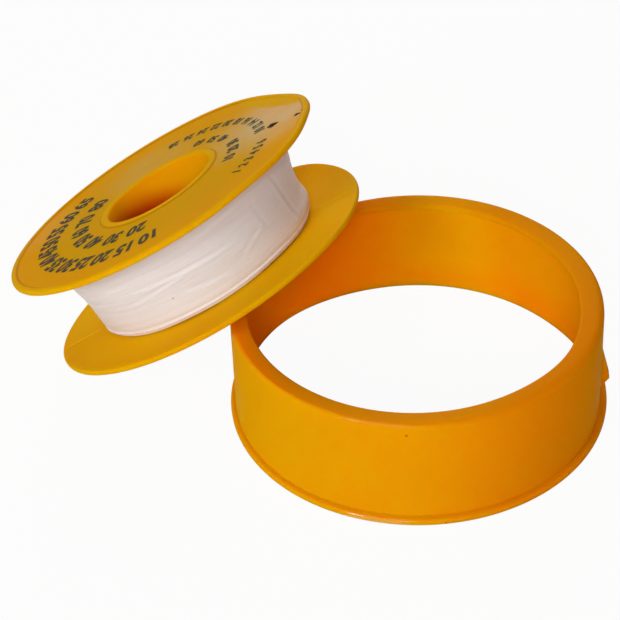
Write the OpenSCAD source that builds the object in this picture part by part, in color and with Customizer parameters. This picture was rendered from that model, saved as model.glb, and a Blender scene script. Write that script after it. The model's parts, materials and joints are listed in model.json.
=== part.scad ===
// Thread seal tape roll, in millimetres with +Z up. The cover ring stands on its foot
// with its axis on Z, and the spool of tape leans on the ring's rim towards -X.

/* [Spool] */
// Outside diameter of both flanges
flange_d = 74; // [66:1:90]
// Thickness of a flange at its rim
flange_t = 1.3; // [1:0.1:2]
// Depth of the shallow recess in each flange's outer face
face_recess = 0.3; // [0.1:0.05:0.5]
// Width of the raised band along a flange's edge
rim_band = 1.2; // [0.8:0.1:3]
// Rounding of a flange's edge
rim_round = 0.4; // [0.1:0.05:0.45]
// Diameter of the hole through the hub
bore_d = 25; // [16:0.5:28]
// Width of the raised band around each end of the hole
bore_band = 1.6; // [1:0.1:3]
// Rounding of the hole's two edges
bore_round = 0.5; // [0.2:0.05:0.9]
// Wall of the hub tube
hub_wall = 1.5; // [1:0.1:3]

/* [Tape] */
// Width of the tape
tape_w = 19; // [10:1:25]
// Room left between the tape's edges and each flange
tape_room = 0.3; // [0.2:0.05:0.8]
// Mean outside diameter of the wound tape, at its free end
tape_d = 53.2; // [45:0.2:60]
// How much the roll's radius gains from the tape's lower edge to its upper one
tape_taper = 2; // [0:0.1:3]
// How far the roll swells at the middle of the tape's width
tape_belly = 0.5; // [0:0.1:1]
// Thickness of the tape in the loose outer turns
turn_t = 0.25; // [0.15:0.05:0.4]
// Gap between the loose outer turns
turn_gap = 0.45; // [0.42:0.01:0.7]
// Number of loose outer turns
turns = 2.2; // [1.2:0.1:4]
// Direction of the tape's free end round the spool
end_angle = 118; // [0:1:359]

/* [Cover ring] */
// Room between the spool and the ring's shoulder when the ring is on
head_room = 1.2; // [0.4:0.1:4]
// Clearance between a flange's edge and the ring's inner wall
ring_gap = 0.5; // [0.3:0.1:1.5]
// Wall of the ring under its shoulder
ring_wall = 1.1; // [0.8:0.1:2]
// How much the outside of the wall gains from the shoulder to the foot
wall_draft = 0.2; // [0:0.05:0.5]
// How far the shoulder reaches in over the bore
shoulder_in = 3.2; // [1.5:0.1:6]
// Thickness of the shoulder
shoulder_t = 1.8; // [1.4:0.1:3]
// Rounding of the rim's outer edge
rim_edge_round = 1.2; // [0.4:0.1:1.4]
// Rounding of the shoulder's inner edge
shoulder_round = 0.8; // [0.2:0.1:1]
// How far the foot stands out from the wall
foot_out = 1.5; // [0.8:0.1:3]
// Thickness of the foot
foot_t = 1.4; // [0.8:0.1:2]
// How far the barb stands out from the wall
barb_out = 2; // [0.8:0.1:3]
// Width of the barb round the ring
barb_w = 3; // [1.5:0.5:8]
// Height of the barb's lower end above the table
barb_low = 2.6; // [1.8:0.1:4]
// Length of the barb's undercut, from its lower end up to its tip
barb_undercut = 2.8; // [1:0.1:4]
// Length of the barb's ramp, from its tip up to the wall
barb_ramp = 7.9; // [4:0.1:12]
// Direction of the barb round the ring
barb_angle = 23; // [0:1:359]

/* [Lean] */
// Lean of the spool's axis from upright
lean_angle = 31; // [26:0.5:34]
// Gap between the lower flange and the ring's rim
seat_gap = 0.1; // [0.05:0.05:0.4]

/* [Hidden] */
$fn = 96;
// Points on a quarter round
round_steps = 6;
// Rings of points on one turn of tape
turn_steps = 48;
// How far pieces of one solid reach into each other
overlap = 0.3;
// Clearance between the wound tape and the hub
wind_gap = 0.05;

flange_r = flange_d / 2;
bore_r = bore_d / 2;
hub_r = bore_r + hub_wall;
winding_w = tape_w + 2 * tape_room;
spool_h = winding_w + 2 * flange_t;

turn_pitch = turn_t + turn_gap;
tape_r = tape_d / 2;
tape_low = flange_t + tape_room;
tape_mid = tape_low + tape_w / 2;
tape_high = tape_low + tape_w;
core_r = tape_r - turns * turn_pitch - turn_t - turn_gap;

ring_h = spool_h + head_room + shoulder_t;
ring_bore_r = flange_r + ring_gap;
ring_r = ring_bore_r + ring_wall;
wall_foot_r = ring_r + wall_draft;
shoulder_r = ring_bore_r - shoulder_in;
foot_r = wall_foot_r + foot_out;
barb_tip = barb_low + barb_undercut;
barb_top = barb_tip + barb_ramp;

// The lower flange's edge rests on the table, and its underside rests on the ring's rim.
lean_z = (flange_r - rim_round) * sin(lean_angle) + rim_round * (1 - cos(lean_angle));
rim_centre_r = ring_r - rim_edge_round;
rim_centre_z = ring_h - rim_edge_round;
rim_rise = rim_edge_round + seat_gap + (rim_centre_z - lean_z) * cos(lean_angle);
lean_x = -rim_centre_r - rim_rise / sin(lean_angle);

// Points on an arc, from one angle to another
function arc(centre, r, from, to) =
    [for (i = [0 : round_steps]) let (a = from + (to - from) * i / round_steps)
        centre + r * [cos(a), sin(a)]];

// Outline of the lower half of the spool, from the bore round the flange to the hub
half_spool = concat(
    arc([bore_r + bore_round, bore_round], bore_round, 180, 270),
    [[bore_r + bore_band, 0],
     [bore_r + bore_band + face_recess, face_recess],
     [flange_r - rim_band - face_recess, face_recess],
     [flange_r - rim_band, 0]],
    arc([flange_r - rim_round, rim_round], rim_round, 270, 360),
    arc([flange_r - rim_round, flange_t - rim_round], rim_round, 0, 90),
    [[hub_r, flange_t]]);
upper_spool = [for (i = [len(half_spool) - 1 : -1 : 0]) [half_spool[i].x, spool_h - half_spool[i].y]];

// Outline of the ring's wall, foot and shoulder
ring_outline = concat(
    [[ring_bore_r, 0]],
    arc([foot_r - foot_t / 2, foot_t / 2], foot_t / 2, 270, 450),
    [[wall_foot_r, foot_t]],
    arc([rim_centre_r, rim_centre_z], rim_edge_round, 0, 90),
    arc([shoulder_r + shoulder_round, ring_h - shoulder_round], shoulder_round, 90, 180),
    [[shoulder_r, ring_h - shoulder_t], [ring_bore_r, ring_h - shoulder_t]]);

// Points up the side of the roll, for a mean radius
function roll_side(r) =
    [[r - tape_taper / 2, tape_low], [r + tape_belly, tape_mid], [r + tape_taper / 2, tape_high]];

// The winding is a spiral that falls by one pitch a turn, from the free end inwards. At each
// step, a ring of six points goes round the tape: up its outside and down its inside.
turn_rings = floor(turns * turn_steps);
function turn_ring(i) =
    let (a = end_angle + 360 * i / turn_steps,
         r = tape_r - turn_pitch * i / turn_steps,
         inside = roll_side(r - turn_t))
    [for (p = concat(roll_side(r), [inside[2], inside[1], inside[0]]))
        [p.x * cos(a), p.x * sin(a), p.y]];
function turn_points() = [for (i = [0 : turn_rings]) each turn_ring(i)];
function turn_faces(n) = concat(
    [for (i = [0 : turn_rings - 1], k = [0 : n - 1])
        let (a = i * n + k, b = i * n + (k + 1) % n)
        each [[a, b, b + n], [a, b + n, a + n]]],
    [for (k = [1 : n - 2]) [0, k + 1, k]],
    [for (k = [1 : n - 2]) let (last = turn_rings * n) [last, last + k, last + k + 1]]);

// Least distance from one ring's points to those that lie half a turn or more further in
function least_to_inner(i) =
    min([for (j = [i + turn_steps / 2 : turn_rings], p = turn_ring(i), q = turn_ring(j)) norm(p - q)]);
least_gap = min([for (i = [0 : turn_rings - turn_steps / 2]) least_to_inner(i)]);
echo(str("Least gap between the tape's turns: ", least_gap, " mm"));

// Stands a piece of the spool, built upright on the origin, in its leaning place
module leaning() {
    translate([lean_x, 0, lean_z]) rotate([0, -lean_angle, 0]) children();
}

module cover_ring() {
    color([0.89, 0.56, 0.02]) {
        rotate_extrude() polygon(ring_outline);
        rotate([0, 0, barb_angle]) rotate([90, 0, 0])
            linear_extrude(height = barb_w, center = true)
                polygon([[ring_r - overlap, barb_low], [ring_r, barb_low],
                         [ring_r + barb_out, barb_tip],
                         [ring_r, barb_top], [ring_r - overlap, barb_top]]);
    }
}

module spool() {
    color([0.86, 0.58, 0.08]) leaning()
        rotate_extrude() polygon(concat(half_spool, upper_spool));
}

module tape_core() {
    inner_r = hub_r + wind_gap;
    color([0.93, 0.86, 0.83]) leaning() rotate_extrude()
        polygon(concat(roll_side(core_r), [[inner_r, tape_high], [inner_r, tape_low]]));
}

module tape_outer_turns() {
    color([0.95, 0.89, 0.87]) leaning()
        polyhedron(points = turn_points(), faces = turn_faces(len(turn_ring(0))));
}

cover_ring();
spool();
tape_core();
tape_outer_turns();
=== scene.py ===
import json
import math
import bpy
import numpy as np
from mathutils import Matrix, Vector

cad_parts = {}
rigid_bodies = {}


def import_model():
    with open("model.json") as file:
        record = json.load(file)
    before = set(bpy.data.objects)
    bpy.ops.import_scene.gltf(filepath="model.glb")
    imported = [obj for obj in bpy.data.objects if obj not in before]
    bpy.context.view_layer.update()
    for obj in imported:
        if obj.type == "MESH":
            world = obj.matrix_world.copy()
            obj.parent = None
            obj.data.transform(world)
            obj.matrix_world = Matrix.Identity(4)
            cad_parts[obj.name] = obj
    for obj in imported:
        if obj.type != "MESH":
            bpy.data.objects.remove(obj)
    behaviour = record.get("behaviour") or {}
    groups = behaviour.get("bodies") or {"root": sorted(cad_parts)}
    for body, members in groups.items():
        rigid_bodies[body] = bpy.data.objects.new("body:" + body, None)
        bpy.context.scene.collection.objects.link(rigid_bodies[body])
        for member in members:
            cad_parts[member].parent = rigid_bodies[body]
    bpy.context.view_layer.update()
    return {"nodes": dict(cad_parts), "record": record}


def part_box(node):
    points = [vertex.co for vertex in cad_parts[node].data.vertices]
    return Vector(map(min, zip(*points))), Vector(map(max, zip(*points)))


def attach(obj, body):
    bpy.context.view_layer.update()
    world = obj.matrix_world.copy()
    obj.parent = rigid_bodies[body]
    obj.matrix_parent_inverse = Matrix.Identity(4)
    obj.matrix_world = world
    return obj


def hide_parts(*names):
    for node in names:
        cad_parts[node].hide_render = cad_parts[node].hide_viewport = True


# Thread seal tape roll: a spool of white tape leaning on its open cover ring.
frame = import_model()
mm = 0.001
mounts = {m["name"]: m for m in frame["record"]["mounts"]}
print("frame loaded:", sorted(frame["nodes"]))


def addObject(name, data):
    made = bpy.data.objects.new(name, data)
    bpy.context.scene.collection.objects.link(made)
    return made


def placedAt(place, right, up, back):
    # the placing of a camera or lamp, from its place and its own three axes
    axes = np.stack([right, up, back], 1)
    return Matrix.Translation(tuple(place)) @ Matrix(axes.tolist()).to_4x4()


# the photograph's viewpoint, in the frame's metres and degrees
cameraSetup = {
    "place": (0.13167, -0.30138, 0.28577),
    "azimuth": 27.43,
    "elevation": 38.55,
    "roll": -2.91,
    "lens": 117.87,
    "sensor": 36.0,
}


def aimCamera(setup):
    # the view axes come from azimuth and elevation, then turn by the roll about the line of sight
    a, e, r = (math.radians(setup[k]) for k in ("azimuth", "elevation", "roll"))
    right = np.array((math.cos(a), math.sin(a), 0))
    back = np.array((math.sin(a) * math.cos(e), -math.cos(a) * math.cos(e), math.sin(e)))
    up = np.cross(back, right)
    across = math.cos(r) * right + math.sin(r) * up
    upward = math.cos(r) * up - math.sin(r) * right
    camera = addObject("camera", bpy.data.cameras.new("camera"))
    camera.data.lens = setup["lens"]
    camera.data.sensor_width = setup["sensor"]
    camera.matrix_world = placedAt(setup["place"], across, upward, back)
    bpy.context.scene.camera = camera


aimCamera(cameraSetup)

# the spool's own axes: x goes uphill along the flange, y along the frame's Y, z up the bore
hubCentre = np.array(mounts["hub_bore"]["pos_m"])
spoolUp = np.array(mounts["hub_bore"]["axis"])
sideways = np.array((0.0, 1.0, 0.0))
uphill = np.cross(sideways, spoolUp)


def onSpool(local):
    # local millimetres from the middle of the bore, carried into the frame's metres
    x, y, z = (local[..., k:k + 1] for k in range(3))
    return hubCentre + mm * (x * uphill + y * sideways + z * spoolUp)


def roundCorners(corners, steps=7):
    # each corner (r, z, radius) becomes an arc that touches its two sides: the arc's centre lies on the
    # bisector, and its points turn evenly from the first touching point to the second
    corners = np.array(corners, float)
    p, radius = corners[:, :2], corners[:, 2]
    toLast = np.roll(p, 1, 0) - p
    toNext = np.roll(p, -1, 0) - p
    toLast /= np.linalg.norm(toLast, axis=1, keepdims=True)
    toNext /= np.linalg.norm(toNext, axis=1, keepdims=True)
    half = np.arccos(np.clip((toLast * toNext).sum(1), -1, 1)) / 2
    bisector = toLast + toNext
    bisector /= np.linalg.norm(bisector, axis=1, keepdims=True)
    centre = p + bisector * (radius / np.sin(half))[:, None]
    first = p + toLast * (radius / np.tan(half))[:, None] - centre
    last = p + toNext * (radius / np.tan(half))[:, None] - centre
    sweep = (np.pi - 2 * half)[:, None]
    t = np.linspace(0, 1, steps)[None, :]
    arc = (np.sin((1 - t) * sweep) / np.sin(sweep))[..., None] * first[:, None]
    arc += (np.sin(t * sweep) / np.sin(sweep))[..., None] * last[:, None]
    return (centre[:, None] + arc).reshape(-1, 2)


def fillSides(outline, spacing):
    # a closed outline with points added along its long sides, no further apart than the spacing; further
    # columns, such as a second outline, follow the first two
    closed = np.vstack([outline, outline[:1]])
    along = np.concatenate([[0], np.cumsum(np.linalg.norm(np.diff(closed[:, :2], axis=0), axis=1))])
    extra = np.arange(0, along[-1], spacing)
    nearest = np.abs(extra[:, None] - along[None, :]).min(1)
    marks = np.sort(np.concatenate([along[:-1], extra[nearest > spacing / 3]]))
    return np.stack([np.interp(marks, along, column) for column in closed.T], 1)


def bell(value, middle, width):
    return np.exp(-((value - middle) / width) ** 2)


def degreesFrom(angle, middle):
    # how far an angle is from a direction in degrees, the short way round
    return np.degrees(np.angle(np.exp(1j * (angle - math.radians(middle)))))


def bellAround(angle, middle, width):
    # a bell curve round a circle, with its middle and width in degrees
    return bell(degreesFrom(angle, middle), 0, width)


def bendsAround(angle, bends):
    # bell curves round a circle, each with its height, middle and width, added up
    return sum(height * bellAround(angle, middle, width) for height, middle, width in bends)


def revolve(outline, steps):
    # every outline point (r, z) goes once round the axis: x = r cos a, y = r sin a
    a = np.linspace(0, 2 * np.pi, steps, endpoint=False)[:, None]
    r, z = outline[None, :, 0], outline[None, :, 1]
    return np.stack([r * np.cos(a), r * np.sin(a), z + 0 * a], -1)


def meshFromQuads(name, points, quads):
    # whole arrays go into the mesh; the quads are turned if the closed volume comes out negative
    flat = points.reshape(-1, 3)
    corner = flat[quads]
    volume = np.einsum("ij,ij->", corner[:, 0], np.cross(corner[:, 1], corner[:, 2]))
    volume += np.einsum("ij,ij->", corner[:, 0], np.cross(corner[:, 2], corner[:, 3]))
    quads = quads if volume > 0 else quads[:, ::-1]
    mesh = bpy.data.meshes.new(name)
    mesh.vertices.add(len(flat))
    mesh.vertices.foreach_set("co", flat.astype(np.float32).ravel())
    mesh.loops.add(quads.size)
    mesh.loops.foreach_set("vertex_index", quads.astype(np.int32).ravel())
    mesh.polygons.add(len(quads))
    mesh.polygons.foreach_set("loop_start", np.arange(0, quads.size, 4, dtype=np.int32))
    mesh.update(calc_edges=True)
    mesh.shade_smooth()
    return addObject(name, mesh)


def gridQuads(rows, cols, closeRows=True):
    # the four corners of each cell of a grid of points: the columns wrap round, and so do closed rows
    i = np.arange(rows if closeRows else rows - 1)[:, None]
    j = np.arange(cols)[None, :]
    i2, j2 = (i + 1) % rows, (j + 1) % cols
    cells = [i * cols + j, i2 * cols + j, i2 * cols + j2, i * cols + j2]
    return np.stack(cells, -1).reshape(-1, 4)


def cappedQuads(rows, cols):
    # a tube of grid cells whose two open ends are filled: points from both sides of the loop are paired up
    j = np.arange(cols // 2 - 1)
    cap = np.stack([j, j + 1, cols - 2 - j, cols - 1 - j], 1)
    return np.vstack([gridQuads(rows, cols, closeRows=False), cap, cap[:, ::-1] + (rows - 1) * cols])


def keepPlace(piece, values):
    # a vector on each vertex that its material can follow
    layer = piece.data.attributes.new("place", "FLOAT_VECTOR", "POINT")
    layer.data.foreach_set("vector", values.astype(np.float32).ravel())


# shader helpers
def makeNode(tree, kind, **settings):
    node = tree.nodes.new(kind)
    for key, value in settings.items():
        setattr(node, key, value)
    return node


def feed(tree, node, sources):
    # a number or colour is set on its socket, and an output is linked to it
    for socket, source in sources.items():
        if isinstance(source, bpy.types.NodeSocket):
            tree.links.new(source, node.inputs[socket])
        else:
            node.inputs[socket].default_value = source


def maths(tree, operation, *values):
    node = makeNode(tree, "ShaderNodeMath", operation=operation)
    feed(tree, node, dict(enumerate(values)))
    return node.outputs[0]


def times(tree, product, *factors):
    for factor in factors:
        product = maths(tree, "MULTIPLY", product, factor)
    return product


def noise(tree, where, scale, detail=3.0, roughness=0.55):
    node = makeNode(tree, "ShaderNodeTexNoise")
    feed(tree, node, {"Vector": where, "Scale": scale, "Detail": detail, "Roughness": roughness})
    return node.outputs["Fac"]


def rampBetween(tree, value, low, high, toLow=0.0, toHigh=1.0):
    # smooth step of a value from one range to another
    node = makeNode(tree, "ShaderNodeMapRange", interpolation_type="SMOOTHSTEP")
    feed(tree, node, {"Value": value, "From Min": low, "From Max": high, "To Min": toLow, "To Max": toHigh})
    return node.outputs["Result"]


def patches(tree, where, grain, levels):
    # noise of a scale and detail, stepped between two of its levels
    return rampBetween(tree, noise(tree, where, *grain), *levels)


def lengthOf(tree, x, y):
    return maths(tree, "SQRT", maths(tree, "ADD", times(tree, x, x), times(tree, y, y)))


def distanceTo(tree, where, place):
    node = makeNode(tree, "ShaderNodeVectorMath", operation="DISTANCE")
    feed(tree, node, {0: where, 1: place})
    return node.outputs["Value"]


def mixColours(tree, factor, first, second):
    node = makeNode(tree, "ShaderNodeMix", data_type="RGBA")
    feed(tree, node, {"Factor": factor, 6: first, 7: second})  # sockets 6 and 7 are the colours
    return node.outputs[2]


def stretch(tree, where, scale):
    node = makeNode(tree, "ShaderNodeMapping")
    feed(tree, node, {"Vector": where, "Scale": scale})
    return node.outputs[0]


def splitAxes(tree, where):
    node = makeNode(tree, "ShaderNodeSeparateXYZ")
    feed(tree, node, {0: where})
    return node.outputs


def keptPlace(tree):
    return makeNode(tree, "ShaderNodeAttribute", attribute_name="place").outputs["Vector"]


def newMaterial(name):
    material = bpy.data.materials.new(name)
    material.use_nodes = True
    return material, material.node_tree, material.node_tree.nodes["Principled BSDF"]


def addBump(tree, shader, height, distance):
    bump = makeNode(tree, "ShaderNodeBump")
    feed(tree, bump, {"Height": height, "Distance": distance})
    feed(tree, shader, {"Normal": bump.outputs["Normal"]})


# moulded plastic: each noise has its scale and detail, then its two levels and what they become
mouldedLook = {
    "flow": ((55.0,), (0.35, 0.7)),
    "blotch": ((520.0, 4.0), (0.4, 0.75, 0.0, 0.5)),
    "scuff": ((900.0, 2.0), (0.62, 0.8, 0.0, 0.16)),
    "scuffStretch": (0.25, 0.25, 3.0),
    "haze": ((150.0,), (0.3, 0.7, -0.05, 0.06)),
    "peel": (1500.0, 2.0),
    "peelShare": 0.35,
    "wave": (160.0, 1.0),
    "glowRadius": (1.0, 0.35, 0.05),
    "glowScale": 0.003,
    "ior": 1.49,
}


def mouldedGroup(look):
    # slow flow marks and blotches in the colour, an orange-peel height, and scuffs and haze in the roughness
    group = bpy.data.node_groups.new("mouldedPlastic", "ShaderNodeTree")
    sides = [("Colour", "INPUT", "NodeSocketColor"), ("Flow colour", "INPUT", "NodeSocketColor"),
             ("Gloss", "INPUT", "NodeSocketFloat"), ("Colour", "OUTPUT", "NodeSocketColor"),
             ("Roughness", "OUTPUT", "NodeSocketFloat"), ("Height", "OUTPUT", "NodeSocketFloat")]
    for name, side, kind in sides:
        group.interface.new_socket(name, in_out=side, socket_type=kind)
    start = makeNode(group, "NodeGroupInput").outputs
    where = makeNode(group, "ShaderNodeTexCoord").outputs["Object"]
    flow, blotch = (patches(group, where, *look[k]) for k in ("flow", "blotch"))
    amount = maths(group, "MAXIMUM", flow, blotch)
    scuff = patches(group, stretch(group, where, look["scuffStretch"]), *look["scuff"])
    haze = patches(group, where, *look["haze"])
    peel = times(group, noise(group, where, *look["peel"]), look["peelShare"])
    feed(group, makeNode(group, "NodeGroupOutput"), {
        "Colour": mixColours(group, amount, start["Colour"], start["Flow colour"]),
        "Roughness": maths(group, "ADD", maths(group, "ADD", start["Gloss"], scuff), haze),
        "Height": maths(group, "ADD", peel, noise(group, where, *look["wave"])),
    })
    return group


mouldedPlastic = mouldedGroup(mouldedLook)


def plasticMaterial(name, finish):
    # a satin yellow plastic, whose glow is the light that passes under its surface
    material, tree, shader = newMaterial(name)
    surface = makeNode(tree, "ShaderNodeGroup", node_tree=mouldedPlastic)
    feed(tree, surface, {
        "Colour": finish["colour"],
        "Flow colour": finish["flowColour"],
        "Gloss": finish["gloss"],
    })
    feed(tree, shader, {
        "Base Color": surface.outputs["Colour"],
        "Roughness": surface.outputs["Roughness"],
        "Subsurface Weight": finish["glow"],
        "Subsurface Radius": mouldedLook["glowRadius"],
        "Subsurface Scale": mouldedLook["glowScale"],
        "IOR": mouldedLook["ior"],
        "Specular IOR Level": finish["shine"],
    })
    addBump(tree, shader, surface.outputs["Height"], finish["bump"])
    return material, tree, shader, surface.outputs["Colour"]


def dress(piece, material, body, slot, *nodes):
    # a piece's material, the body that carries it, its slot, which is not used, and the solids that it
    # stands for
    piece.data.materials.clear()
    piece.data.materials.append(material)
    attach(piece, body)
    if nodes:
        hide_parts(*nodes)


# cover ring, in millimetres and degrees
ringShape = {
    "wall": 1.1,
    "draft": 0.2,
    "shoulderIn": 3.2,
    "shoulderThick": 1.8,
    "shoulderFall": 0.3,
    "shoulderLevel": (-125, 40),  # middle, width
    "shoulderEdge": 1.0,
    "shoulderRound": 0.6,
    "lipRound": 0.5,
    "ceilingRound": 0.4,
    "footOut": 1.5,
    "footThick": 1.4,
    "footRound": 0.55,
    "footShift": (-0.3, 0.35, -33.0),  # base, swing, direction
    "cornerRound": 0.2,
    "rimRound": 1.2,
    "rimRoundLeast": 0.8,
    "rimRoundMost": 1.9,
    "rimBends": ((-0.4, -112, 40), (0.7, -22, 40)),  # change, middle, width
    "openingShift": (-0.7, -0.1),
    "openingBend": (0.6, -5, 18),  # change, middle, width
    "boreBends": ((1.0, 164, 22), (0.5, 44, 14)),  # change, middle, width
    "boreBendHeight": 8.0,
    "steps": 420,
    "spacing": 0.8,
    # the ring's finish: a range holds a step's two places in millimetres, and what it becomes there
    "look": {
        "finish": {"colour": (0.9, 0.375, 0.001, 1), "flowColour": (0.88, 0.355, 0.001, 1),
                   "gloss": 0.5, "shine": 0.005, "bump": 0.00004, "glow": 1.0},
        "within": (1.0, 0.85),
        "topDepth": (1.1, 0.6),
        "topInset": (0.3, 0.7),
        # painted light: a lighter colour on the back of the bore's inner wall
        "lightColour": (0.99, 0.47, 0.001, 1),
        "lightAt": 104.0,
        "lightReach": (3.0, 16.0, 1.0, 0.0),
        "lightHeight": (2.0, 9.0),
        # painted shade: a deeper colour on the rim's top and towards one side
        "deepColour": (0.88, 0.26, 0.001, 1),
        "deepTop": 0.45,
        "deepSideFrom": 12.0,
        "deepSide": 0.95,
        # painted shade: a redder colour on the rim's top and inside the ring
        "redColour": (1.0, 0.22, 0.001, 1),
        "redTopX": (-2.0, -22.0, 0.0, 0.6),
        "redTopY": (0.0, -10.0),
        "redLowHeight": (12.0, 2.0, 0.0, 0.55),
        "redLowX": (-4.0, 12.0),
        "redSideX": (-16.0, -36.0, 0.0, 0.9),
        "specks": ((-69.5, 38.6, 22.7, 0.4), (-58.5, 40.1, 0.6, 0.4)),  # angle, radius, height, size
        "speckColour": (0.12, 0.05, 0.006, 1),
        "speckCore": 0.4,
        "speckDepth": 0.6,
        "rubbedRim": 0.45,
        "rimLine": (0.6, 0.45),
        "rubbedFoot": 0.9,
        "footLine": (0.3, 0.6),
        "footLineHeight": (0.2, 0.1),
        "rubbedAt": -78.2,
        "rubbedReach": (4.0, 8.0, 1.0, 0.0),
        "rubbedGloss": 0.07,
    },
}


def aroundRing(radius, angle, height=0.0):
    # a place in the frame's metres, from millimetres and degrees round the ring
    a = math.radians(angle)
    return mm * radius * math.cos(a), mm * radius * math.sin(a), mm * height


def ringMaterial(look, bore, wallTop, wallFoot, footThick, height):
    # the moulded plastic, with painted shade that deepens its colour on the rim, at one side and low inside
    # the bore, painted light at the back of the bore, two specks, and rubbed to a gloss at one place along
    # the rim and the foot
    material, tree, shader, colour = plasticMaterial("ringYellow", look["finish"])
    where = makeNode(tree, "ShaderNodeTexCoord").outputs["Object"]
    x, y, z = splitAxes(tree, where)
    r = lengthOf(tree, x, y)

    def step(value, start, end, least=0.0, most=1.0):
        return rampBetween(tree, value, mm * start, mm * end, least, most)

    def levelDistance(place):
        return lengthOf(tree, maths(tree, "SUBTRACT", x, place[0]), maths(tree, "SUBTRACT", y, place[1]))

    # the top of the rim and the inside of the bore
    top = times(tree, step(z, *(height - d for d in look["topDepth"])),
                step(r, *(wallTop - d for d in look["topInset"])))
    within = step(r, *(bore + d for d in look["within"]))
    # painted light on the back of the bore's inner wall
    light = times(tree, within, step(levelDistance(aroundRing(bore, look["lightAt"])), *look["lightReach"]),
                  step(z, *look["lightHeight"]))
    colour = mixColours(tree, light, colour, look["lightColour"])
    # painted shade on the rim's top and towards one side
    deepSide = step(x, look["deepSideFrom"], wallTop, 0.0, look["deepSide"])
    deep = maths(tree, "MAXIMUM", times(tree, top, look["deepTop"]), deepSide)
    colour = mixColours(tree, deep, colour, look["deepColour"])
    # painted shade, redder: on the rim's top at the front left, inside on the left under the spool, and low
    # inside on the right
    redTop = times(tree, top, step(x, *look["redTopX"]), step(y, *look["redTopY"]))
    redLow = times(tree, step(z, *look["redLowHeight"]), step(x, *look["redLowX"]))
    redSide = maths(tree, "MAXIMUM", redLow, step(x, *look["redSideX"]))
    red = maths(tree, "MAXIMUM", redTop, times(tree, within, redSide))
    colour = mixColours(tree, red, colour, look["redColour"])
    for angle, radius, up, size in look["specks"]:
        away = distanceTo(tree, where, aroundRing(radius, angle, up))
        dark = step(away, look["speckCore"] * size, size, look["speckDepth"], 0.0)
        colour = mixColours(tree, dark, colour, look["speckColour"])
    # the two edges that are rubbed
    rim = times(tree, step(r, *(wallTop - d for d in look["rimLine"])),
                step(z, *(height - d for d in look["rimLine"])))
    foot = times(tree, step(r, *(wallFoot + d for d in look["footLine"])),
                 step(z, *(footThick + d for d in look["footLineHeight"])))
    edges = maths(tree, "MAXIMUM", times(tree, rim, look["rubbedRim"]),
                  times(tree, foot, look["rubbedFoot"]))
    rubbedAway = levelDistance(aroundRing(wallTop, look["rubbedAt"]))
    feed(tree, shader, {
        "Base Color": colour,
        "Coat Weight": times(tree, edges, step(rubbedAway, *look["rubbedReach"])),
        "Coat Roughness": look["rubbedGloss"],
    })
    return material


def makeRing(shape):
    # an outline of bore, foot, wall and a shoulder that falls inwards, with rounded corners, goes round Z
    bore = mounts["ring_bore"]["dims"]["r_mm"]
    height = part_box("cover_ring")[1][2] / mm
    wallTop = bore + shape["wall"]
    wallFoot = wallTop + shape["draft"]
    foot, footThick = wallFoot + shape["footOut"], shape["footThick"]
    shoulder = bore - shape["shoulderIn"]
    under = height - shape["shoulderThick"]
    outlines = [roundCorners([
        (bore, 0, shape["cornerRound"]), (foot, 0, shape["footRound"]),
        (foot, footThick, shape["footRound"]), (wallFoot, footThick, shape["cornerRound"]),
        (wallTop, height, rimRound), (shoulder, height - shape["shoulderFall"], shape["shoulderRound"]),
        (shoulder, under, shape["lipRound"]), (bore, under, shape["ceilingRound"]),
    ]) for rimRound in (shape["rimRoundLeast"], shape["rimRoundMost"])]
    outlines = fillSides(np.hstack(outlines), shape["spacing"])
    points, softest = (revolve(outlines[:, k:k + 2], shape["steps"]) for k in (0, 2))
    # the rim's edge is crisper in front and softer at one side: its rounding changes by bell curves round
    # the ring, and each point lies between its places on the crispest and the softest outline
    a = np.arctan2(points[..., 1], points[..., 0])
    rounding = shape["rimRound"] + bendsAround(a, shape["rimBends"])
    share = (rounding - shape["rimRoundLeast"]) / (shape["rimRoundMost"] - shape["rimRoundLeast"])
    points += np.clip(share, 0, 1)[..., None] * (softest - points)
    r = np.hypot(points[..., 0], points[..., 1])
    # the foot is a little off centre: its reach changes by a base and a cosine round the ring
    base, swing, towards = shape["footShift"]
    onFoot = np.clip((r - wallFoot) / shape["footOut"], 0, 1) * (points[..., 2] < 2 * footThick)
    moved = onFoot * (base + swing * np.cos(a - math.radians(towards)))
    points[..., :2] *= ((r + moved) / r)[..., None]
    # the shoulder's opening is off centre and wider at one side, by an amount that grows inwards
    inward = np.clip((bore - r) / shape["shoulderIn"], 0, 1)
    widened = inward * bendsAround(a, [shape["openingBend"]])
    points[..., :2] *= (1 + widened / r)[..., None]
    points[..., :2] += inward[..., None] * np.array(shape["openingShift"])
    # at one side the shoulder lies level: its fall is taken back there by a bell curve round the ring
    edge = wallTop - shape["shoulderEdge"]
    onShoulder = np.clip((edge - r) / (edge - shoulder), 0, 1)
    onShoulder *= points[..., 2] > under - shape["shoulderEdge"]
    points[..., 2] += shape["shoulderFall"] * onShoulder * bellAround(a, *shape["shoulderLevel"])
    # low inside, the wall is drawn out at two places: by bell curves round the ring that fade with height
    low = np.clip(1 - points[..., 2] / shape["boreBendHeight"], 0, 1)
    low *= np.clip((wallFoot - r) / (wallFoot - bore), 0, 1)
    points[..., :2] *= (1 + low * bendsAround(a, shape["boreBends"]) / r)[..., None]
    ring = meshFromQuads("coverRing", mm * points, gridQuads(*points.shape[:2]))
    material = ringMaterial(shape["look"], bore, wallTop, wallFoot, footThick, height)
    dress(ring, material, "cover_ring", "ring_plastic", "cover_ring")
    print("ring:", len(ring.data.polygons), "quads")
    return material, wallTop


ringYellow, ringR = makeRing(ringShape)

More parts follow.
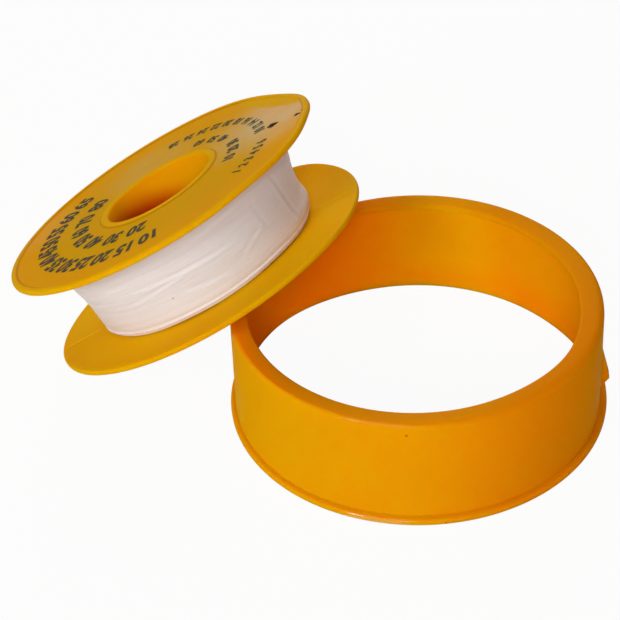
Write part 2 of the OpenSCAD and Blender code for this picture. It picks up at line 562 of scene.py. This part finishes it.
# barb on the ring's outer wall, in millimetres and degrees
barbShape = {
    "out": 2.0,
    "width": 3.0,
    "low": 2.6,
    "undercut": 2.8,
    "ramp": 7.9,
    "angle": 23.0,
    "sink": 0.4,
    "sinkRound": 0.1,
    "lowRound": 0.2,
    "tipRound": 0.3,
    "topRound": 0.4,
    "roundSteps": 6,
    "acrossShares": (0.5, 0.5, 0.46, 0.4),  # of the width, from one end to the middle
    "sizeShares": (0.4, 0.9, 0.97, 1.0),  # of the outline there
}


def makeBarb(shape, wall):
    # a rounded wedge outline in the ring's radial plane, carried across its width and drawn in at both ends
    low, tip = shape["low"], shape["low"] + shape["undercut"]
    top = tip + shape["ramp"]
    sunk = wall - shape["sink"]
    outline = roundCorners([
        (sunk, low, shape["sinkRound"]), (wall, low, shape["lowRound"]),
        (wall + shape["out"], tip, shape["tipRound"]), (wall, top, shape["topRound"]),
        (sunk, top, shape["sinkRound"]),
    ], shape["roundSteps"])
    middle = outline.mean(0)
    across, size = np.array(shape["acrossShares"]), np.array(shape["sizeShares"])
    across = np.concatenate([across, -across[::-1]]) * shape["width"]
    size = np.concatenate([size, size[::-1]])
    section = middle + size[:, None, None] * (outline - middle)[None]
    a = math.radians(shape["angle"])
    r, z = section[..., 0], section[..., 1]
    y = across[:, None] + 0 * r
    points = np.stack([r * math.cos(a) - y * math.sin(a), r * math.sin(a) + y * math.cos(a), z], -1)
    barb = meshFromQuads("ringBarb", mm * points, cappedQuads(*points.shape[:2]))
    dress(barb, ringYellow, "cover_ring", "ring_plastic")
    print("barb:", len(barb.data.polygons), "quads")


makeBarb(barbShape, ringR)

# spool, in millimetres and degrees
spoolShape = {
    "flangeThick": 1.3,
    "recess": 0.3,
    "recessRound": 0.12,
    "rimBand": 1.2,
    "rimRound": 0.4,
    "beadRound": 0.6,
    "bandRound": 0.25,
    "boreBand": 1.6,
    "boreRound": 0.5,
    "hubWall": 1.5,
    "hubRound": 0.15,
    "roundSteps": 5,
    "spacing": 1.2,
    "steps": 420,
    "warpFrom": 27.0,
    "warpPower": 1.5,
    "upperWarp": ((0.3, 21, 10), (0.3, -22, 12), (-1.05, 64, 20)),  # height, middle, width
    "lowerWarp": ((1.4, 80, 22), (-0.3, 12, 20)),  # height, middle, width
    # the spool's finish: a range holds a step's two places in millimetres, and what it becomes there
    "look": {
        "finish": {"colour": (0.88, 0.432, 0.001, 1), "flowColour": (0.86, 0.402, 0.001, 1),
                   "gloss": 0.52, "shine": 0.007, "bump": 0.00004, "glow": 0.8},
        "outerDepth": (0.6, 0.45),
        "faceEdge": 0.2,
        "faceColour": (0.85, 0.32, 0.001, 1),
        "faceShare": 0.6,
        # patches of painted sheen: x, y, where it is full and where it ends, amount
        "haze": ((22, 20, 3, 22, 0.95), (-12, 14, 4, 15, 0.2), (-33, -4, 2, 12, 0.15)),
        "hazeColour": (0.82, 0.54, 0.27, 1),
        "cloud": ((0.12, 4.0, 0.6), (0.3, 0.7, 0.55, 1.0)),
        # painted shade along the foot of each step round the recessed faces
        "grime": (0.08, 0.38, 0.4, 0.0),
        "grimeColour": (0.3, 0.11, 0.002, 1),
        # painted light in the bore, and painted shade deeper in it
        "boreEdge": (0.5, 0.2),
        "boreColour": (0.95, 0.4, 0.001, 1),
        "deepColour": (0.54, 0.042, 0.001, 1),
        "deepSide": 222.0,
        "deepStart": (-8.0, 8.0, 7.0, 11.0),
        "deepLength": 7.0,
        "deepAmount": (-9.0, 1.0, 0.15, 1.0),
        "nicks": ((28.2, 30.5, 2.2), (34.3, 26.4, 1.4), (35.6, 28.4, 0.9)),  # radius, angle, size
        "nickNoise": 0.9,
        "nickEdge": 1.12,
        "nickColour": (0.02, 0.008, 0.003, 1),
    },
}
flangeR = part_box("spool")[1][1] / mm
boreR = mounts["hub_bore"]["dims"]["r_mm"]
spoolHalf = mounts["hub_bore"]["dims"]["length_mm"] / 2 + spoolShape["boreRound"]


def warpFlanges(local, shape):
    # thin rims bend along the bore: the bends are bell curves round the rim (height, angle, width) and grow
    # from the warp's radius out to the edge
    r = np.hypot(local[..., 0], local[..., 1])
    a = np.arctan2(local[..., 1], local[..., 0])
    reach = np.clip((r - shape["warpFrom"]) / (flangeR - shape["warpFrom"]), 0, 1) ** shape["warpPower"]
    for side, bends in ((1, shape["upperWarp"]), (-1, shape["lowerWarp"])):
        local[..., 2] += np.where(local[..., 2] * side > 0, bendsAround(a, bends) * reach, 0)


def spoolMaterial(shape):
    # the moulded plastic, with patches of painted sheen on its faces, painted shade along the steps, painted
    # light and shade in the bore, and nicks
    look = shape["look"]
    material, tree, shader, colour = plasticMaterial("spoolYellow", look["finish"])
    place = keptPlace(tree)
    x, y, z = splitAxes(tree, place)
    r = lengthOf(tree, x, y)
    fromMiddle = maths(tree, "ABSOLUTE", z)
    outer = rampBetween(tree, fromMiddle, *(spoolHalf - d for d in look["outerDepth"]))
    rimFoot = flangeR - shape["rimBand"] - shape["recess"]
    boreFoot = boreR + shape["boreBand"] + shape["recess"]
    edge = look["faceEdge"]
    face = times(tree, outer, rampBetween(tree, r, boreFoot - edge, boreFoot + edge),
                 rampBetween(tree, r, rimFoot + edge, rimFoot - edge))
    colour = mixColours(tree, times(tree, face, look["faceShare"]), colour, look["faceColour"])
    cloud = patches(tree, place, *look["cloud"])
    # patches of painted sheen on the faces
    for hazeX, hazeY, near, far, amount in look["haze"]:
        away = distanceTo(tree, place, (hazeX, hazeY, spoolHalf))
        patch = times(tree, face, rampBetween(tree, away, near, far, amount, 0.0), cloud)
        colour = mixColours(tree, patch, colour, look["hazeColour"])
    # painted shade along the foot of each step
    for foot in (rimFoot, boreFoot):
        away = maths(tree, "ABSOLUTE", maths(tree, "SUBTRACT", r, foot))
        line = times(tree, outer, rampBetween(tree, away, *look["grime"]))
        colour = mixColours(tree, line, colour, look["grimeColour"])
    # painted light near the bore's mouths and painted shade that deepens towards its middle, from further up
    # at one side
    a = math.radians(look["deepSide"])
    side = maths(tree, "ADD", times(tree, x, math.cos(a)), times(tree, y, math.sin(a)))
    start = rampBetween(tree, side, *look["deepStart"])
    depth = rampBetween(tree, fromMiddle, start, maths(tree, "SUBTRACT", start, look["deepLength"]))
    depth = times(tree, depth, rampBetween(tree, side, *look["deepAmount"]))
    deep = mixColours(tree, depth, look["boreColour"], look["deepColour"])
    inside = rampBetween(tree, r, *(boreR + d for d in look["boreEdge"]))
    colour = mixColours(tree, inside, colour, deep)
    for nickR, angle, size in look["nicks"]:
        a = math.radians(angle)
        nick = (nickR * math.cos(a), nickR * math.sin(a), spoolHalf - shape["recess"])
        rough = times(tree, noise(tree, place, look["nickNoise"]), size)
        ragged = maths(tree, "ADD", distanceTo(tree, place, nick), rough)
        dark = rampBetween(tree, ragged, size, look["nickEdge"] * size, 1.0, 0.0)
        colour = mixColours(tree, dark, colour, look["nickColour"])
    feed(tree, shader, {"Base Color": colour})
    return material


def makeSpool(shape):
    # half an outline, from the bore round one flange to the hub, and its mirror image go once round the bore
    low, recess, inner = -spoolHalf, shape["recess"], shape["flangeThick"] - spoolHalf
    band, rim = boreR + shape["boreBand"], flangeR - shape["rimBand"]
    half = [(boreR, low, shape["boreRound"]), (band, low, shape["bandRound"]),
            (band + recess, low + recess, shape["recessRound"]),
            (rim - recess, low + recess, shape["recessRound"]), (rim, low, shape["bandRound"]),
            (flangeR, low, shape["beadRound"]), (flangeR, inner, shape["rimRound"]),
            (boreR + shape["hubWall"], inner, shape["hubRound"])]
    mirrored = [(r, -z, rounding) for r, z, rounding in half[::-1]]
    outline = fillSides(roundCorners(half + mirrored, shape["roundSteps"]), shape["spacing"])
    local = revolve(outline, shape["steps"])
    warpFlanges(local, shape)
    spool = meshFromQuads("tapeSpool", onSpool(local), gridQuads(*local.shape[:2]))
    keepPlace(spool, local)
    dress(spool, spoolMaterial(shape), "spool", "spool_plastic", "spool")
    print("spool:", len(spool.data.polygons), "quads")


makeSpool(spoolShape)

# hairline of the mould across the inside of each flange, in millimetres and degrees
ridgeShape = {
    "angle": 32.25,
    "offset": -2.74,
    "width": 0.36,
    "crestShare": 0.2,
    "height": 0.12,
    "sink": 0.05,
    "inner": 27.5,
    "rimGap": 0.6,
    "steps": 12,
    "finish": {"colour": (0.87, 0.44, 0.012, 1), "flowColour": (0.85, 0.42, 0.01, 1),
               "gloss": 0.52, "shine": 0.007, "bump": 0.00004, "glow": 0.0},
}


def makeRidges(shape):
    # four low prisms: a ridge section carried along a straight line, from beside the tape to the rim
    a = math.radians(shape["angle"])
    along, across = np.array((math.cos(a), math.sin(a))), np.array((-math.sin(a), math.cos(a)))
    half, crest = shape["width"] / 2, shape["crestShare"] * shape["width"] / 2
    inside = spoolHalf - spoolShape["flangeThick"]
    section = np.array(((-half, -shape["sink"]), (-crest, shape["height"]),
                        (crest, shape["height"]), (half, -shape["sink"])))
    reach = np.sqrt(np.array((shape["inner"], flangeR - shape["rimGap"])) ** 2 - shape["offset"] ** 2)
    t = np.linspace(*reach, shape["steps"])
    quads = cappedQuads(len(t), len(section))
    material = plasticMaterial("ridgeYellow", shape["finish"])[0]
    for k, (side, end) in enumerate(((-1, -1), (-1, 1), (1, -1), (1, 1))):
        w = shape["offset"] + section[None, :, 0] + 0 * t[:, None]
        flat = end * t[:, None, None] * along + w[..., None] * across
        z = side * (inside - section[None, :, 1] + 0 * t[:, None])
        local = np.concatenate([flat, z[..., None]], -1)
        warpFlanges(local, spoolShape)
        ridge = meshFromQuads(f"moldRidge{k}", onSpool(local), quads)
        ridge.data.shade_flat()
        dress(ridge, material, "spool", "spool_plastic")
    print("mould ridges:", 4 * len(quads), "quads")


makeRidges(ridgeShape)

# dark printed scale on the upper flange: rows of plain numbers, in millimetres and degrees
scaleShape = {
    "film": 0.025,
    "sink": 0.01,
    "squeeze": 0.78,
    "bolder": 0.04,
    "curveSteps": 3,
    # radius, height, first and last angle, numbers, and whether their tops point inwards
    "rows": (
        (25.3, 4.9, -61, -191, range(10, 70, 5), False),
        (17.3, 4.6, -71, -184, range(20, 90, 10), False),
        (23.7, 2.7, 34, 115, range(10, 30, 2), True),
        (25.2, 2.7, -11, 15, range(1, 7), True),
        (17.1, 3.0, 13, 40, range(10, 40, 10), True),
        (17.1, 2.8, 62, 90, range(40, 70, 10), True),
    ),
    "colour": (0.04, 0.026, 0.004, 1),
    "wornColour": (0.2, 0.09, 0.004, 1),
    "worn": ((1.3, 4.0, 0.6), (0.48, 0.72)),
    "gloss": (0.45, 0.65),
    "shine": 0.03,
    "grain": (6.0, 2.0),
    "bump": 0.00001,
}


def inkMaterial(shape):
    # dark ink that has worn thin in patches, where the plastic shows through
    material, tree, shader = newMaterial("scaleInk")
    place = keptPlace(tree)
    worn = patches(tree, place, *shape["worn"])
    feed(tree, shader, {
        "Base Color": mixColours(tree, worn, shape["colour"], shape["wornColour"]),
        "Roughness": rampBetween(tree, worn, 0.0, 1.0, *shape["gloss"]),
        "Specular IOR Level": shape["shine"],
    })
    addBump(tree, shader, noise(tree, place, *shape["grain"]), shape["bump"])
    return material


def numberOutline(label, shape):
    # a filled number as flat points and triangles, centred on its own middle, one unit high
    curve = bpy.data.curves.new("number", "FONT")
    curve.body = str(label)
    curve.resolution_u = shape["curveSteps"]
    curve.offset = shape["bolder"]
    holder = addObject("number", curve)
    bpy.context.view_layer.update()
    flat = bpy.data.meshes.new_from_object(holder.evaluated_get(bpy.context.evaluated_depsgraph_get()))
    flat.calc_loop_triangles()
    points = np.empty(3 * len(flat.vertices))
    flat.vertices.foreach_get("co", points)
    triangles = np.empty(3 * len(flat.loop_triangles), int)
    flat.loop_triangles.foreach_get("vertices", triangles)
    points = points.reshape(-1, 3)[:, :2]
    points -= (points.min(0) + points.max(0)) * (0.5, 0) + (0, points[:, 1].min())
    for block, home in ((holder, bpy.data.objects), (curve, bpy.data.curves), (flat, bpy.data.meshes)):
        home.remove(block)
    return points / points[:, 1].max(), triangles.reshape(-1, 3)


def thicken(points, triangles, low, high):
    # a flat patch becomes a closed film: its top, its turned-over underside, and a wall on every open edge
    n = len(points)
    edges = triangles[:, ((0, 1), (1, 2), (2, 0))].reshape(-1, 2)
    key = np.sort(edges, 1) @ (n, 1)
    first, count = np.unique(key, return_index=True, return_counts=True)[1:]
    rim = edges[first[count == 1]]
    walls = np.concatenate([np.stack([rim[:, 1], rim[:, 0], rim[:, 0] + n], 1),
                            np.stack([rim[:, 1], rim[:, 0] + n, rim[:, 1] + n], 1)])
    solid = np.concatenate([np.column_stack([points, np.full(n, level)]) for level in (high, low)])
    return solid, np.concatenate([triangles, triangles[:, ::-1] + n, walls])


def makeScale(shape):
    # numbers stand on an arc: sideways distance becomes an angle and height becomes radius, and those whose
    # tops point inwards are turned by half a turn
    face = spoolHalf - spoolShape["recess"]
    low, high = face - shape["sink"], face + shape["film"]
    solids, faces, total = [], [], 0
    for radius, height, first, last, labels, inward in shape["rows"]:
        for a, label in zip(np.linspace(first, last, len(labels)), labels):
            points, triangles = numberOutline(label, shape)
            points = (points - (0, 0.5)) * (shape["squeeze"], 1) * (-1 if inward else 1)
            middle = radius + height / 2
            r = middle + height * points[:, 1]
            angle = math.radians(a) - height * points[:, 0] / middle
            bent = np.column_stack([r * np.cos(angle), r * np.sin(angle)])
            solid, cells = thicken(bent, triangles, low, high)
            solids.append(solid)
            faces.append(cells + total)
            total += len(solid)
    local, faces = np.concatenate(solids), np.concatenate(faces)
    mesh = bpy.data.meshes.new("flangeScale")
    mesh.from_pydata(onSpool(local).tolist(), [], faces.tolist())
    scale = addObject("flangeScale", mesh)
    keepPlace(scale, local)
    dress(scale, inkMaterial(shape), "spool", "spool_plastic")
    print("scale:", len(faces), "triangles")


makeScale(scaleShape)

# wound tape, in millimetres and degrees
tapeShape = {
    "meanRadius": 26.6,
    "taper": 2.0,
    "belly": 0.5,
    "width": 19.0,
    "thick": 0.2,
    "pitch": 0.5,
    "turns": 3.1,
    "endAngle": 118.0,
    "endLift": (0.5, 0.02, 0.4),  # amount, turns, share at the lower edge
    "edgeWave": (0.08, 7),  # height, number of waves
    "outerSteps": 320,
    "innerSteps": 90,
    "lipSteps": 22,
    "bodySteps": 56,
    "lip": 0.2,
    "lipHeight": 1.7,
    "lipRidges": ((1.0, 0.75, 0.26), (-0.5, 1.3, 0.26), (-0.3, 0.0, 0.35)),  # share, height, width
    "lipWave": 0.35,
    "lipFade": (0.6, 40, 50),  # share, middle, width
    # amount, angle, width, height, spread
    "bulges": ((0.79, 30, 35, 13.3, 2.8), (0.93, 30, 40, 2.5, 2.2), (-0.75, -138, 40, 7.5, 4.5),
               (0.6, -62, 30, 1.0, 3.0)),
    # first angle and height, last angle and height, depth, width
    "creases": (
        (-82, 10.6, -34, 9.7, 0.2, 0.45), (-90, 7.6, -55, 9.8, 0.14, 0.4), (-64, 6.2, -38, 4.6, 0.12, 0.6),
        (-15, 13.5, -12.4, 7.0, 0.07, 0.6), (-14, 3.2, 2, 2.3, 0.07, 0.45), (2, 16.0, 9.5, 3.0, 0.16, 0.7),
        (-50, 14.6, -20, 15.4, 0.09, 0.4), (-30, 6.0, -16, 8.4, 0.1, 0.5),
        (-100, 12.0, -78, 13.2, 0.09, 0.45),
    ),
    "strayCreases": {"seed": 4, "count": 16, "from": (-10, 2), "to": (235, 16), "reach": (8, 40),
                     "rise": (-2, 2), "depth": (0.04, 0.09), "width": (0.35, 0.7)},
    "slowWave": 0.06,
    "coreGap": 1.2,
    "coreEdgeRound": 0.2,
    "coreInnerRound": 0.1,
    "coreBellyRound": 2.0,
    "coreRoundSteps": 5,
    "coreSpacing": 0.6,
    "coreSteps": 240,
    "hubGap": 0.05,
    # the tape's finish, with places along and across the tape in millimetres
    "look": {
        "colour": (0.93, 0.87, 0.9, 1),
        "stretch": (0.04, 1.0, 1.0),
        "streak": (1.4, 5.0, 0.6),
        "streakLevels": (0.4, 0.75, 0.0, 0.6),
        "streakColour": (0.86, 0.77, 0.785, 1),
        "streakGloss": (0.3, 0.7, 0.42, 0.58),
        "lines": (9.0, 2.0),
        "lineShare": 0.3,
        # a pink stretch towards the roll's far end: painted shade
        "pinkFrom": (96.0, 120.0, 0.0, 0.6),
        "pinkTo": (160.0, 135.0),
        "pinkColour": (0.9, 0.74, 0.72, 1),
        "speck": (81.1, -3.8, 0.0),
        "speckReach": (0.12, 0.3, 0.6, 0.0),
        "speckColour": (0.4, 0.3, 0.25, 1),
        "bump": 0.00012,
        "glow": 0.25,
        "glowRadius": (1.0, 0.8, 0.7),
        "glowScale": 0.0012,
    },
}


def makeCreases(shape, angle, height):
    # each crease runs straight from one place (angle, height) to another: a dip with a ridge beside it,
    # whose depth fades out towards both ends; stray ones follow, and a slow wave goes over the whole roll
    stray = shape["strayCreases"]
    rng = np.random.default_rng(stray["seed"])
    starts = rng.uniform(stray["from"], stray["to"], (stray["count"], 2))
    creases = list(shape["creases"])
    for a, h in starts:
        reach, rise, depth, width = (rng.uniform(*stray[k]) for k in ("reach", "rise", "depth", "width"))
        creases.append((a, h, a + reach, h + rise, depth, width))
    field = shape["slowWave"] * np.sin(3 * angle + 0.25 * height) * np.sin(0.14 * height + 1.0)
    perDegree = math.radians(1) * shape["meanRadius"]
    for a0, h0, a1, h1, depth, width in creases:
        away = degreesFrom(angle, (a0 + a1) / 2) * perDegree
        dx, dh = (a1 - a0) * perDegree, h1 - h0
        length = math.hypot(dx, dh)
        up = height - (h0 + h1) / 2
        t = (away * dx + up * dh) / length ** 2
        d = (up * dx - away * dh) / length / width
        fade = np.exp(-(2 * t) ** 4)
        field = field + depth * fade * (0.7 * bell(d, -1.3, 1) - bell(d, 0, 1))
    return field


def makeTape(shape):
    # a strip wound inwards from its free end: radius falls by one pitch a turn, grows from the lower edge
    # to the upper one, swells in the middle and in bulges, and stands out in a lip by the lower edge; its
    # inside is one thickness further in
    turns, lipHeight = shape["turns"], shape["lipHeight"]
    innerSteps = int((turns - 1) * shape["innerSteps"])
    run = np.concatenate([np.linspace(0, 1, shape["outerSteps"], endpoint=False),
                          np.linspace(1, turns, innerSteps)])[:, None]
    angle = math.radians(shape["endAngle"]) + 2 * np.pi * run
    height = np.concatenate([np.linspace(0, lipHeight, shape["lipSteps"], endpoint=False),
                             np.linspace(lipHeight, shape["width"], shape["bodySteps"])])[None, :]
    v = height / shape["width"]
    swell = shape["belly"] * 4 * v * (1 - v) + shape["taper"] * (v - 0.5)
    for amount, at, width, middle, spread in shape["bulges"]:
        swell = swell + amount * bellAround(angle, at, width) * bell(height, middle, spread)
    firm = 1 + shape["lipWave"] * np.sin(3 * angle + 0.6) * np.sin(5 * angle)
    firm *= 1 - bendsAround(angle, [shape["lipFade"]])
    lip = shape["lip"] * firm * sum(h * bell(height, at, width) for h, at, width in shape["lipRidges"])
    side = shape["meanRadius"] - shape["pitch"] * run + swell + lip + makeCreases(shape, angle, height)
    # the free end lifts off, most at its upper edge, and both edges wave a little
    lift, reach, least = shape["endLift"]
    side += lift * np.exp(-run / reach) * (least + v)
    wave, count = shape["edgeWave"]
    z = shape["width"] * (v - 0.5) + wave * np.sin(count * angle) * (2 * v - 1)
    outer, inner = (np.stack([r * np.cos(angle), r * np.sin(angle), z], -1)
                    for r in (side, side - shape["thick"]))
    local = np.concatenate([outer, inner[:, ::-1]], 1)
    strip = meshFromQuads("tapeTurns", onSpool(local), cappedQuads(*local.shape[:2]))
    along = 2 * np.pi * shape["meanRadius"] * run + 0 * local[..., 0]
    keepPlace(strip, np.stack([along, local[..., 2], 0 * along], -1))
    print("tape turns:", len(strip.data.polygons), "quads")
    return strip


def makeTapeCore(shape):
    # the tight turns below: a ring outline that follows the roll's taper, set in by the turns over it
    inner = boreR + spoolShape["hubWall"] + shape["hubGap"]
    outer = shape["meanRadius"] - shape["pitch"] * shape["turns"] - shape["coreGap"]
    half, lean = shape["width"] / 2, shape["taper"] / 2
    corners = [(inner, -half, shape["coreInnerRound"]), (outer - lean, -half, shape["coreEdgeRound"]),
               (outer + shape["belly"], 0, shape["coreBellyRound"]),
               (outer + lean, half, shape["coreEdgeRound"]), (inner, half, shape["coreInnerRound"])]
    outline = fillSides(roundCorners(corners, shape["coreRoundSteps"]), shape["coreSpacing"])
    local = revolve(outline, shape["coreSteps"])
    core = meshFromQuads("tapeCore", onSpool(local), gridQuads(*local.shape[:2]))
    keepPlace(core, local)
    print("tape core:", len(core.data.polygons), "quads")
    return core


def tapeMaterial(look):
    # soft waxy film: streaks and fine lines along the tape, in its colour and its height, a pink stretch of
    # painted shade and a speck
    material, tree, shader = newMaterial("tapeFilm")
    where = keptPlace(tree)
    stretched = stretch(tree, where, look["stretch"])
    streak = noise(tree, stretched, *look["streak"])
    lines = noise(tree, stretched, *look["lines"])
    amount = rampBetween(tree, streak, *look["streakLevels"])
    colour = mixColours(tree, amount, look["colour"], look["streakColour"])
    along = splitAxes(tree, where)[0]
    pink = times(tree, rampBetween(tree, along, *look["pinkFrom"]),
                 rampBetween(tree, along, *look["pinkTo"]))
    colour = mixColours(tree, pink, colour, look["pinkColour"])
    dark = rampBetween(tree, distanceTo(tree, where, look["speck"]), *look["speckReach"])
    feed(tree, shader, {
        "Base Color": mixColours(tree, dark, colour, look["speckColour"]),
        "Roughness": rampBetween(tree, streak, *look["streakGloss"]),
        "Subsurface Weight": look["glow"],
        "Subsurface Radius": look["glowRadius"],
        "Subsurface Scale": look["glowScale"],
    })
    addBump(tree, shader, maths(tree, "ADD", streak, times(tree, lines, look["lineShare"])), look["bump"])
    return material


tapeFilm = tapeMaterial(tapeShape["look"])
dress(makeTape(tapeShape), tapeFilm, "tape", "tape_film", "tape_outer_turns")
dress(makeTapeCore(tapeShape), tapeFilm, "spool", "tape_film", "tape_core")

# floor and light, in the frame's metres
studio = {
    "floorSize": 6.0,
    "floorColour": (0.8, 0.8, 0.8, 1),
    "floorWhite": 0.95,
    "lamps": {
        "key": {"place": (0.295, -0.73, 0.551), "size": 0.25, "power": 3.45, "colour": (0.98, 1.0, 0.96)},
        "side": {"place": (-0.217, -0.81, 0.466), "size": 0.25, "power": 2.8, "colour": (0.98, 1.0, 0.96)},
        "back": {"place": (-0.424, 0.798, 0.314), "size": 0.5, "power": 3.7, "colour": (1.0, 0.92, 0.86)},
    },
    "world": 0.17,
    "worldColour": (1.0, 0.88, 0.8, 1),
    "skyColour": (1, 1, 1, 1),
}


def seenDirectly(tree):
    # one for a ray from the camera, a shine or clear glass, and zero for scattered light
    path = makeNode(tree, "ShaderNodeLightPath").outputs
    seen = maths(tree, "MAXIMUM", path["Is Camera Ray"], path["Is Glossy Ray"])
    return maths(tree, "MAXIMUM", seen, path["Is Transmission Ray"])


def makeFloor(setup):
    # a square that looks nearly white, keeps a faint shadow and scatters light as a pale floor
    half = setup["floorSize"] / 2
    corners = [(-half, -half, 0), (half, -half, 0), (half, half, 0), (-half, half, 0)]
    mesh = bpy.data.meshes.new("floor")
    mesh.from_pydata(corners, [], [(0, 1, 2, 3)])
    floor = addObject("floor", mesh)
    material = bpy.data.materials.new("paleFloor")
    material.use_nodes = True
    tree = material.node_tree
    tree.nodes.clear()
    diffuse = makeNode(tree, "ShaderNodeBsdfDiffuse")
    feed(tree, diffuse, {"Color": setup["floorColour"]})
    white = makeNode(tree, "ShaderNodeEmission")
    mix = makeNode(tree, "ShaderNodeMixShader")
    share = times(tree, seenDirectly(tree), setup["floorWhite"])
    feed(tree, mix, {0: share, 1: diffuse.outputs[0], 2: white.outputs[0]})
    feed(tree, makeNode(tree, "ShaderNodeOutputMaterial"), {"Surface": mix.outputs[0]})
    mesh.materials.append(material)


def makeLamps(setup):
    # round soft lamps that face the middle of the spool
    for name, made in setup["lamps"].items():
        lamp = bpy.data.lights.new(name, "AREA")
        lamp.shape = "DISK"
        lamp.size = made["size"]
        lamp.energy = made["power"]
        lamp.color = made["colour"]
        back = np.array(made["place"]) - hubCentre
        back /= np.linalg.norm(back)
        right = np.cross((0, 0, 1), back)
        right /= np.linalg.norm(right)
        addObject(name, lamp).matrix_world = placedAt(made["place"], right, np.cross(back, right), back)


def makeWorld(setup):
    # dim warm light from all around, with a white sky behind the floor
    world = bpy.data.worlds.new("studio")
    bpy.context.scene.world = world
    world.use_nodes = True
    tree = world.node_tree
    seen = seenDirectly(tree)
    feed(tree, tree.nodes["Background"], {
        "Color": mixColours(tree, seen, setup["worldColour"], setup["skyColour"]),
        "Strength": rampBetween(tree, seen, 0.0, 1.0, setup["world"], 1.0),
    })


makeFloor(studio)
makeLamps(studio)
makeWorld(studio)
bpy.context.scene.view_settings.view_transform = "Standard"
print("studio:", len(studio["lamps"]), "lamps")

print("scene done")
